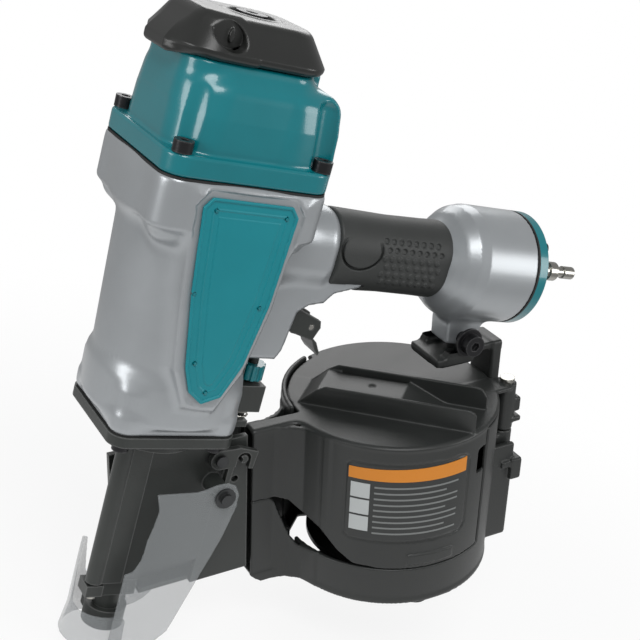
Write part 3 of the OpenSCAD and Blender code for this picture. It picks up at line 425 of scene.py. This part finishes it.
def cap():
    g = Grid((-50, -49, 267), (50, 49, 326), 0.8)
    x, y, z = g.x, g.y, g.z
    flange = slab(plan_box(x, y, *COLLAR), z, FLANGE_LOW, FLANGE_TOP, 1.6)
    shrink = np.interp(g.z.ravel(), [280, 298, 312, 322], [0, 0.8, 2.6, 5.0])[None, None, :]
    dome = slab(plan_box(x, y, 42.6 - shrink, 41.1 - shrink, 23), z, 272, 320, 12)
    rear = slab(plan_box(x - 30, y, 17.5 - shrink * 0.8, 38.5 - shrink, 7), z, 272, 317, 9)
    top = slab(plan_box(x + 4, y, 36, 31, 15), z, 300, CAP_TOP, 2)
    dome = smin(smin(dome, rear, 6), top, 4)
    for sx in (-1, 1):
        for sy in (-1, 1):
            u, v = x - sx * 39.6, y - sy * 39.6
            lean = (z - 280) * 0.07
            flute = np.sqrt((u + sx * lean) ** 2 + (v + sy * lean) ** 2 + np.maximum(z - 309, 0) ** 2) - 7.4
            dome = smax(dome, -np.maximum(flute, FLANGE_TOP - z), 2.2)
    body = smin(dome, flange, 2.2)
    for sx in (-1, 1):
        for sy in (-1, 1):
            body = cut(body, slab(disc(x, y, sx * CAP_BOLT, sy * CAP_BOLT, 5.8), z, FLANGE_TOP, 300))
    # small lug behind the deflector
    body = smin(body, round_box(x, y, z, (38, -6, 318), (3.5, 5, 5), 1.5), 2)
    body = cut(body, slab(np.hypot(x, y) - 33.2, z, 260, 293.4))
    body = cut(body, slab(np.hypot(x, y) - 16.1, z, 260, 330))
    piece("cylinder_cap_casting", "tool", body, g, TEAL, ["cylinder_cap"])


def deflector():
    g = Grid((-57, -40, 315), (44, 40, 347), 0.6)
    x, y, z = g.x, g.y, g.z
    inset = np.interp(g.z.ravel(), [HOOD_LOW, 328, 344], [0.6, 0, 9.5])[None, None, :]
    body = slab(plan_box(x + 4, y, 40 - inset, 34 - inset * 0.9, 18 - inset * 0.3), z, HOOD_LOW, HOOD_TOP, 3.0)
    # hood that reaches out and down over the front, with sloping sides
    hood = polygon(x, y, [(-48.5, -12), (-48.5, 12), (-39, 25), (-26, 31.5), (-8, 33), (-8, -33), (-26, -31.5),
                          (-39, -25)])
    side = polygon(x, z, [(-49, 322), (-46, 320.6), (-42, 321.8), (-37, 324.6), (-8, 324.6), (-8, HOOD_TOP),
                          (-33, HOOD_TOP), (-49, 327.5)])
    lean = np.interp(g.z.ravel(), [318, 326, 344], [0, 0, 9.0])[None, None, :]
    hood = smax(hood + lean, side, 2.5)
    body = smin(body, hood, 3)
    hollow = np.interp(g.z.ravel(), [320, 328, 335], [29.5, 29.5, 24])[None, None, :]
    body = cut(body, slab(np.hypot(x + 4, y) - hollow, z, 300, 335))
    body = cut(body, round_box(x, y, z, (-32, 0, 323), (10, 10, 7), 2), 1)
    # outlet notch on each side and the round recess over the screw
    for s in (-1, 1):
        notch = np.hypot((x + 23 + (z - 336) * 0.3) * 0.8, (z - 335.5) * 0.95) - 6.4
        body = smax(body, -np.maximum(notch, 25.4 - s * y), 1.2)
        rib = np.hypot((x + 21.5) * 1.6, (z - 335.5) * 0.6) - 2.0
        body = smin(body, np.maximum(rib, abs(s * y - 25.0) - 2.4), 0.8)
    body = smax(body, -slab(np.hypot(x, y) - 11.5, z, 339, 350), 1.5)
    body = smin(body, slab(abs(np.hypot(x, y) - 14.0) - 1.2, z, 342, 344.3, 0.6), 1.2)
    body = cut(body, slab(np.hypot(x, y) - 5.2, z, 300, 350))
    piece("deflector_shell", "exhaust", body, g, HOOD, ["exhaust_deflector"])


def grip():
    g = Grid((72, -24, 200), (158, 24, 258), 0.6)
    x, y, z = g.x, g.y, g.z
    swell = np.interp(g.x.ravel(), [76, 90, 115, 140, 154], [0.4, 0.0, -0.7, -0.3, 0.3])[:, None, None]
    outer = slab(stadium(y, z - HANDLE_Z, 39.4, 45.6) - swell, x, 76.3, 153.4, 2.4)
    # grooved oval at the front, and rows of dots behind it: the top two sunk, the rest raised
    pad = np.hypot((x - 91) / 1.25, z - 235) - 10.5
    outer = cut(outer, np.maximum(abs(pad) - 0.4, 17.6 - abs(y)) - 0.2, 0.5)
    for row in range(6):
        for col in range(8):
            px, pz = 106.5 + 5.1 * col + 2.5 * (row % 2), 241.5 - 4.7 * row
            dot = np.sqrt((x - px) ** 2 + (z - pz) ** 2 + 1e-6) - 1.45
            near = np.maximum(dot, 15.4 - abs(y))
            i0, i1 = (int((px + d - g.lo[0]) / g.step) for d in (-4, 4))
            k0, k1 = (int((pz + d - g.lo[2]) / g.step) for d in (-4, 4))
            part, near = outer[i0:i1, :, k0:k1], near[i0:i1, :, k0:k1]
            if row < 2:
                outer[i0:i1, :, k0:k1] = smax(part, -np.maximum(near, -part - 1.0), 0.6)
            else:
                outer[i0:i1, :, k0:k1] = smin(part, np.maximum(near, part - 0.75), 0.7)
    body = cut(outer, slab(stadium(y, z - HANDLE_Z, 32.3, 40.3), x, 60, 170))
    body = cut(body, round_box(x, y, z, (86, 0, 200), (15.2, 15.3, 19), 0.5))
    piece("grip_sleeve", "tool", body, g, RUBBER, ["handle_grip"])


def badges():
    g = Grid((-27, 43.5, 151), (31, 48, 265), 0.5)
    x, y, z = g.x, g.y, g.z
    d2 = polygon(x, z, BADGE) - 0.4
    plate = slab(d2, y, BADGE_BACK, 46.0, 0.3)
    rim = slab(np.maximum(d2, -(d2 + 1.6)), y, BADGE_BACK, 46.8, 0.4)
    line = slab(np.maximum(d2 + 5.2, -(d2 + 6.2)), y, 45.2, 46.35, 0.2)
    panel = slab(d2 + 9.0, y, 45.2, 46.4, 0.2)
    body = np.minimum(np.minimum(np.minimum(plate, rim), line), panel)
    for px, pz in ((-17, 256), (22, 256), (-18, 213), (20, 208), (-8, 176), (2, 160)):
        body = cut(body, slab(disc(x, z, px, pz, 1.0), y, 40, 50))
    piece("badge_plate_far", "tool", body, g, BADGE_TEAL, ["side_badges"])
    piece("badge_plate_near", "tool", body[:, ::-1, :], Flipped(g), BADGE_TEAL, ["side_badges"])


# ---------- magazine ----------
# canister: axis, outer radius and wall; under side, rim of the lid and top of the fixed wall
CX, R, WALL = 185.0, 66.0, 2.6
FLOOR, RIM = -9.4, 98.6
WALL_TOP = 95.1
# hinge pin
PX, PY = 257.0, -20.0
# the lid's thin cuts are held at this depth
DEEPEST = -1.0


def cover():
    g = Grid((85, -69, 10), (269, 69, 116), 1.0)
    x, y, h = g.x, g.y, g.z
    r = np.hypot(x - CX, y)
    ang = np.degrees(np.arctan2(y, x - CX))
    ring = abs(r - (R - WALL / 2)) - WALL / 2
    # curved wall on the near side, which blends into the throat's wall
    curve = [(90.6, -6.6), (103, -6.8), (112, -9.4), (119.5, -15), (124.0, -24), (127.5, -30)]
    throat = polyline(x, y, curve, WALL / 2)
    a = np.where(ang < 0, ang + 360, ang)
    near = np.maximum(ring, np.maximum(205 - a, a - 298) * 1.15)
    plan = smin(near, throat, 2)
    low = np.interp(g.x.ravel(), [88, 104, 112, 118, 125, 131, 137, 150],
                    [50, 50, 47, 40.5, 33.5, 23, 17, 15.6])
    wall = np.maximum(np.maximum(plan, low[:, None, None] - h), h - 97)
    lid_plan = smin(r - R, slab(plan_box(x - 110, y, 21, 7.9, 2), h, -99, 200), 9)
    lid = slab(lid_plan, h, RIM - 3, RIM, 2.0)
    body = smin(wall, lid, 2)
    # room for the rim of the fixed wall at the far front
    arc = np.maximum(np.maximum(62.0 - r, 112 - a), a - 179)
    body = np.maximum(body, -np.maximum(arc, RIM - 4.2 - h))
    # ramp with a fin on each side, which runs out to the rim
    t = math.radians(-44.5)
    u = (x - CX) * math.cos(t) + y * math.sin(t)
    v = -(x - CX) * math.sin(t) + y * math.cos(t) + 17.4
    top = np.interp(u, [-49, -38, 12, 36], [RIM - 0.6, RIM + 9.6, RIM + 10.4, RIM - 0.6])
    ramp = smax(np.maximum(abs(v) - 15.2, RIM - 2 - h), (h - top) * 0.8, 1.5)
    ramp = np.maximum(ramp, np.maximum(-60 - u, u - 36))
    ramp = np.maximum(ramp, r - (R - 0.8))
    body = smin(body, ramp, 1.2)
    rise = np.interp(u, [-49, -38, -32, 52, 56, 58.5],
                     [RIM, RIM + 9.8, RIM + 13.4, RIM + 14.2, RIM + 13, RIM + 9])
    fin = np.maximum(np.maximum(abs(abs(v) - 14.4) - 1.05, h - rise), np.maximum(-u - 48, u - 58.8))
    fin = np.maximum(np.maximum(fin, r - (R - 0.4)), RIM - 2 - h)
    body = smin(body, fin, 0.8)
    # grooves beside the ramp's top, a dimple and the hollow below
    for s in (-1, 1):
        groove = slab(plan_box(u + 9, v - s * 12.6, 21, 0.75, 0.7), h, RIM + 5.5, 200)
        body = cut(body, np.maximum(groove, DEEPEST))
    body = smax(body, -(np.sqrt((u + 8) ** 2 + (v - 1.5) ** 2 + (h - RIM - 12) ** 2) - 3.0), 0.5)
    under = np.maximum(abs(v) - 11.4, h - (top - 2.6))
    under = np.maximum(under, np.maximum(-34 - u, u - 30))
    body = cut(body, np.maximum(under, np.maximum(r - (R - 6), 60 - h)))
    # screw near the rim, hinge strap and barrel
    screw = slab(disc(x, y, 198.5, -53.2, 3.6), h, 90, RIM + 0.7, 0.5)
    body = smin(body, screw, 1.0)
    body = cut(body, slab(disc(x, y, 198.5, -53.2, 1.9), h, RIM - 1, RIM + 9))
    strap = slab(plan_box(x - 241, y - PY, 16, 7.8, 3), h, RIM - 3, RIM, 1.2)
    barrel = slab(disc(x, y, PX, PY, 6), h, 66.4, RIM, 1)
    body = smin(smin(body, strap, 2), barrel, 2)
    body = smin(body, round_box(x, y, h, (261.5, -21, 83), (4.5, 4, 5), 1), 0.8)
    body = smin(body, round_box(x, y, h, (262.5, -21, 73), (4.0, 5, 2), 0.8), 0.8)
    body = cut(body, slab(disc(x, y, PX, PY, 3.4), h, 60, 120))
    # inner hollow, slot at the rear, and the groove round the label
    hollow = np.maximum(r - (R - WALL), h - (RIM - 3))
    body = cut(body, np.maximum(hollow, DEEPEST))
    body = cut(body, round_box(x, y, h, (212, -59, 77), (3.2, 6, 8.5), 1.5))
    arc_y = np.radians(ang + 109.5) * R
    panel = plan_box(arc_y, h - 61, 38.5, 26.2, 6)
    body = np.maximum(body, -np.maximum(abs(panel) - 0.7, R - 0.55 - r))
    # raised tab on the lower edge
    tab = plan_box(np.radians(ang + 96) * R, h - 22, 15, 3.6, 1.0)
    body = smin(body, np.maximum(np.maximum(tab, r - R - 1.1), R - 1.5 - r), 0.5)
    piece("canister_lid_shell", "cover", body, g, PLASTIC, ["canister_cover"], MAG)


def label():
    """Plain label: an amber band, three pale squares and nine even bars."""
    def bent(name, a0, a1, h0, h1, slope, mat, lift=0.25):
        n = 24
        verts, faces = [], []
        for i in range(n + 1):
            q = math.radians(a0 + (a1 - a0) * i / n)
            for hh in (h0, h1 + slope * i / n):
                for rr in (R - 0.35, R + lift):
                    verts.append(Vector(MAG @ np.array([CX + rr * math.cos(q), rr * math.sin(q), hh])) * MM)
        for i in range(n):
            a, b = 4 * i, 4 * i + 4
            faces += [(a + 1, b + 1, b + 3, a + 3), (a, a + 2, b + 2, b), (a, b, b + 1, a + 1),
                      (a + 2, a + 3, b + 3, b + 2)]
        faces += [(0, 1, 3, 2), (4 * n, 4 * n + 2, 4 * n + 3, 4 * n + 1)]
        me = bpy.data.meshes.new(name)
        me.from_pydata(verts, [], faces)
        me.polygons.foreach_set("use_smooth", [False] * len(faces))
        place(name, me, "cover", mat)
    bent("label_band", -141, -78.5, 76.2, 83.6, 2.0, AMBER)
    for k in range(3):
        top = 73.6 - 11.2 * k
        bent("label_square_%d" % k, -139.6, -129.8, top - 9.8, top, 0, PALE)
    for k in range(9):
        end = -83.0 - (7.0 if k % 3 == 1 else 0)
        bent("label_bar_%d" % k, -127.6, end, 71.2 - 3.9 * k, 72.3 - 3.9 * k, 0, GREY_INK, 0.15)


def base():
    g = Grid((80, -70, -12), (272, 70, 124), 1.15)
    x, y, h = g.x, g.y, g.z
    r = np.hypot(x - CX, y)
    a = np.degrees(np.arctan2(y, x - CX))
    full = np.where(a < 0, a + 360, a)
    a = np.where(a < -170, a + 360, a)
    ring = abs(r - (R - WALL / 2)) - WALL / 2
    body = slab(r - R, h, FLOOR, FLOOR + 3, 1.2)
    low = np.maximum(np.maximum(ring, h - 15), FLOOR - h)
    high = np.maximum(ring, np.maximum(-60.5 - a, a - 165) * 1.15)
    high = np.maximum(np.maximum(high, h - WALL_TOP), FLOOR - h)
    body = smin(body, np.minimum(low, high), 2)
    far = polyline(x, y, [(90.6, 6.2), (103, 6.2), (112, 9.0), (119.5, 15), (124.0, 24)], WALL / 2)
    near = polyline(x, y, [(90.6, -6.2), (103, -6.2), (112, -9.0), (119.5, -15), (124.0, -24)], WALL / 2)
    # fixed rim that stands round the lid's far front
    rim = np.maximum(abs(r - 64.4) - 1.5, np.maximum(115 - full, full - 177))
    rim = np.maximum(rim, np.maximum(80 - h, h - RIM - 1.8))
    body = smin(body, rim, 1)
    slope = np.interp(g.x.ravel(), [88, 96, 100, 118], [-2.0, -8.9, -8.9, -8.9])[:, None, None]
    body = smin(body, np.maximum(np.maximum(far, h - WALL_TOP), slope - h), 1.5)
    top = np.interp(g.x.ravel(), [88, 101, 104, 114, 118, 126], [50.0, 50.0, 47.0, 20.0, 15.0, 15.0])
    top = top[:, None, None]
    body = smin(body, np.maximum(np.maximum(near, h - top), slope - h), 1.5)
    body = smin(body, np.maximum(slab(plan_box(x - 107, y, 17, 7.6, 1), h, FLOOR, -2.4, 0.8), slope - h), 1.5)
    # strap to the nose guide, and the hinge post
    body = smin(body, round_box(x, y, h, (87, 9.76, 78), (16, 1.7, 15), 0.8), 1)
    post = np.maximum(round_box(x, y, h, (247, PY, 27), (10, 5, 36.5), 1.5), R - 1 - r)
    post = smin(slab(disc(x, y, PX, PY, 6), h, FLOOR, 66, 1), post, 2)
    body = smin(body, post, 2)
    flange = np.maximum(round_box(x, y, h, (250, -29.5, 26), (9.5, 2.0, 34), 1.0), R - 1 - r)
    flange = smin(flange, round_box(x, y, h, (256.5, -27, 46), (6.5, 6.5, 2.2), 0.8), 1)
    flange = smin(flange, round_box(x, y, h, (260.5, -29.5, 42), (4.0, 5.0, 7.5), 1.0), 1)
    body = smin(body, flange, 1.5)
    # rear post and arm that carry the magazine
    body = smin(body, round_box(x, y, h, (256.2, 3, 80.3), (3.8, 11, 40.3), 1.2), 1)
    web = np.maximum(round_box(x, y, h, (251, 3, 52), (8, 10, 12), 1.2), R - 1 - r)
    body = smin(body, web, 1)
    body = smin(body, round_box(x, y, h, (233, 3, 118), (26.5, 10, 2.3), 1.0), 2)
    body = smin(body, round_box(x, y, h, (219, 0, 118.2), (12.2, 15.2, 2.6), 1.0), 1)
    tx, tz = x * math.cos(TILT) - h * math.sin(TILT), x * math.sin(TILT) + h * math.cos(TILT)
    ears = slab(polygon(tx, tz, [(173, 160.5), (195, 160.5), (195, 191.5), (191, 193), (181, 193), (178, 190)]),
                abs(y), 9.3, 16, 1)
    body = smin(body, np.maximum(ears, 116 - h), 2)
    body = cut(body, np.hypot(tx - 186, tz - 184.5) - 4.2)
    # hollows and the floor's window
    body = cut(body, slab(disc(x, y, PX, PY, 2.7), h, FLOOR + 2, 90))
    body = cut(body, slab(disc(x, y, CX, 0, 6.2), h, FLOOR + 2, 60))
    body = cut(body, np.maximum(np.maximum(abs(y) - 4.5, abs(x - 112) - 21), -2.4 - h))
    hub = slab(disc(x, y, CX, 0, 10), h, FLOOR + 1, FLOOR + 6, 1)
    body = cut(smin(body, hub, 1), slab(disc(x, y, CX, 0, 6.2), h, FLOOR + 2, 60))
    window = polygon(x, y, [(136, 4), (170, 4), (164, 22), (160, 36), (148, 40), (134, 26)]) - 2
    body = cut(body, np.maximum(window, h - 2))
    piece("canister_base_shell", "tool", body, g, PLASTIC, ["magazine_base"], MAG)


def films():
    """Clear sheets: one on the feed door, one round the contact foot."""
    g = Grid((-6, -31, -14), (52, -20, 98), 0.6)
    x, y, z = g.x, g.y, g.z
    outline = [(-4, -11), (7.5, -12.5), (18, -9.5), (26.5, 1), (38, 38), (45.8, 63), (49.6, 82), (49.2, 90),
               (46, 95), (41, 96.6), (35, 95.4), (24, 90.5), (12, 88.6), (3, 87), (6.2, 77), (5, 66), (3.6, 58),
               (3.2, 46), (0, 38), (-4, 36)]
    ys = -22.6 - 6.0 * np.clip((x + 4) / 32, 0, 1)
    sheet = np.maximum(polygon(x, z, outline) - 0.3, (abs(y - ys) - 0.8) * 0.98)
    sheet = cut(sheet, np.hypot(x - 41, z - 88) - 2.1)
    piece("side_film", "door", sheet, g, CLEAR, ["side_shield"])
    g = Grid((-26, -23, -17), (52, 23, 47), 0.6)
    x, y, z = g.x, g.y, g.z
    flare = 0.13 * np.clip(-z, 0, 16)
    radius = np.hypot(x + 2, y)
    wrap = np.maximum(abs(radius - 18.9 - flare) - 0.8, x + 2)
    ang = np.degrees(np.arctan2(y, -(x + 2)))
    top = np.interp(ang, [-90, -20, 2, 14, 34, 52, 70, 90], [5.5, 4.5, 6, 22, 41, 38, 14, 5.5])
    wrap = np.maximum(np.maximum(wrap, (z - top) * 0.35), -15.8 - z)
    far = abs(y - 18.9 - flare) - 0.8
    lobe = smin(disc(x, z, 21, 3, 18.5), disc(x, z, 41, 8, 8), 5)
    lobe = np.minimum(lobe, slab(plan_box(x - 31, z - 8, 10.5, 7.9, 2), z, -40, 40))
    strip = np.maximum(abs(x - 9) - 11.5, abs(z + 5) - 10.6)
    far = np.maximum(np.maximum(far, np.minimum(lobe, strip)), -15.8 - z)
    near = np.maximum(abs(-y - 18.9 - flare) - 0.8, slab(plan_box(x - 1, z + 5.5, 4, 10, 3), z, -40, 40))
    film = np.minimum(np.minimum(wrap, far), near)
    for px in (2, 10):
        film = cut(film, np.maximum(disc(x, z, px, -2, 1.6), -y))
    piece("nose_film", "contact", film, g, CLEAR, ["nose_shield"])


def plain(name, colour, rough):
    m = bpy.data.materials.new(name)
    m.use_nodes = True
    b = m.node_tree.nodes["Principled BSDF"]
    b.inputs["Base Color"].default_value = colour
    b.inputs["Roughness"].default_value = rough
    return m


AMBER = plain("label_amber", srgb(214, 132, 34), 0.45)
PALE = plain("label_pale", srgb(186, 190, 190), 0.5)
GREY_INK = plain("label_grey", srgb(120, 123, 122), 0.5)

label()
films()
housing()
cap()
deflector()
grip()
badges()
cover()
base()

# ---------- carried-over parts ----------
slots = {s["node"]: s["material_slot"] for s in frame["record"]["subparts"]}
for node, ob in frame["nodes"].items():
    me = ob.data
    look = DARK_STEEL if node in ("shield_screw", "latch_pin") else LOOKS[slots[node]]
    if me.materials:
        for i in range(len(me.materials)):
            ob.material_slots[i].material = look
    else:
        me.materials.append(look)

# ---------- camera, floor and light ----------
FOCAL_PIXELS, SENSOR, IMAGE = 1265.905, 36, 640
cam_data = bpy.data.cameras.new("camera")
cam_data.lens, cam_data.sensor_width = FOCAL_PIXELS * SENSOR / IMAGE, SENSOR
cam_data.clip_start, cam_data.clip_end = 0.01, 20
cam = bpy.data.objects.new("camera", cam_data)
bpy.context.scene.collection.objects.link(cam)
right = Vector((0.84069931, -0.473409, 0.26288512))
up = Vector((-0.05819936, 0.40366749, 0.91305279))
back = Vector((-0.53836558, -0.7829026, 0.31181088))
turn = Matrix((right, up, back)).transposed().to_4x4()
turn.translation = Vector((-0.29672, -0.56129, 0.40921))
cam.matrix_world = turn
bpy.context.scene.camera = cam

FLOOR_GLOW = 0.86
FADE_START, FADE_END = 0.22, 0.62
WORLD_LIGHT = 0.35
FLOOR_HALF, FLOOR_GAP = 1.5, 0.0005


def either(nodes, links, a, b):
    """Output that is 1 where one of two outputs is 1."""
    most = nodes.new("ShaderNodeMath")
    most.operation = "MAXIMUM"
    links.new(a, most.inputs[0])
    links.new(b, most.inputs[1])
    return most.outputs[0]


def backdrop():
    """White to the camera, darker only where the object's shadow falls, and clear far away."""
    white = bpy.data.materials.new("backdrop_white")
    white.use_nodes = True
    n, l = white.node_tree.nodes, white.node_tree.links
    matt = n["Principled BSDF"]
    matt.inputs["Base Color"].default_value = (0.8, 0.8, 0.8, 1)
    matt.inputs["Roughness"].default_value = 1.0
    matt.inputs["Specular IOR Level"].default_value = 0.0
    glow = n.new("ShaderNodeEmission")
    glow.inputs["Color"].default_value = (1, 1, 1, 1)
    glow.inputs["Strength"].default_value = 1.0
    path = n.new("ShaderNodeLightPath")
    seen = either(n, l, path.outputs["Is Camera Ray"], path.outputs["Is Glossy Ray"])
    seen = either(n, l, seen, path.outputs["Is Transmission Ray"])
    share = n.new("ShaderNodeMath")
    share.operation = "MULTIPLY"
    share.inputs[1].default_value = FLOOR_GLOW
    l.new(seen, share.inputs[0])
    blend = n.new("ShaderNodeMixShader")
    l.new(share.outputs[0], blend.inputs[0])
    l.new(matt.outputs[0], blend.inputs[1])
    l.new(glow.outputs[0], blend.inputs[2])
    where = n.new("ShaderNodeTexCoord")
    distance = n.new("ShaderNodeVectorMath")
    distance.operation = "LENGTH"
    l.new(where.outputs["Object"], distance.inputs[0])
    fade = n.new("ShaderNodeMapRange")
    fade.interpolation_type = "SMOOTHSTEP"
    fade.inputs["From Min"].default_value, fade.inputs["From Max"].default_value = FADE_START, FADE_END
    l.new(distance.outputs["Value"], fade.inputs[0])
    gone = n.new("ShaderNodeMixShader")
    clear = n.new("ShaderNodeBsdfTransparent")
    l.new(fade.outputs[0], gone.inputs[0])
    l.new(blend.outputs[0], gone.inputs[1])
    l.new(clear.outputs[0], gone.inputs[2])
    l.new(gone.outputs[0], n["Material Output"].inputs[0])
    return white


me = bpy.data.meshes.new("floor")
F = FLOOR_HALF
me.from_pydata([(-F, -F, 0), (F, -F, 0), (F, F, 0), (-F, F, 0)], [], [(0, 1, 2, 3)])
floor = bpy.data.objects.new("floor", me)
floor.location = (0.1, 0, cad_box[0][2] - FLOOR_GAP)
me.materials.append(backdrop())
bpy.context.scene.collection.objects.link(floor)

world = bpy.data.worlds.new("studio")
bpy.context.scene.world = world
world.use_nodes = True
nodes, links = world.node_tree.nodes, world.node_tree.links
sky = nodes["Background"]
sky.inputs[0].default_value = (1, 1, 1, 1)
path = nodes.new("ShaderNodeLightPath")
# white where it is seen, dimmer as a light
level = nodes.new("ShaderNodeMapRange")
level.inputs["To Min"].default_value, level.inputs["To Max"].default_value = WORLD_LIGHT, 1.0
seen = either(nodes, links, path.outputs["Is Camera Ray"], path.outputs["Is Transmission Ray"])
links.new(seen, level.inputs[0])
links.new(level.outputs[0], sky.inputs[1])


def lamp(name, pos, target, size, power):
    """Round area light aimed at a point."""
    data = bpy.data.lights.new(name, "AREA")
    data.shape, data.size, data.energy = "DISK", size, power
    ob = bpy.data.objects.new(name, data)
    bpy.context.scene.collection.objects.link(ob)
    ob.location = pos
    ob.rotation_euler = (Vector(target) - Vector(pos)).to_track_quat("-Z", "Y").to_euler()


MIDDLE = (0.07, 0, 0.18)
lamp("key", (-0.35, -0.75, 1.15), MIDDLE, 0.7, 8)
lamp("side", (0.95, -0.75, 0.55), MIDDLE, 0.6, 4)
lamp("left", (-1.05, -0.1, 0.35), MIDDLE, 0.5, 3.5)
lamp("back", (0.5, 0.9, 0.9), MIDDLE, 0.9, 5)

bpy.context.scene.view_settings.view_transform = "Standard"
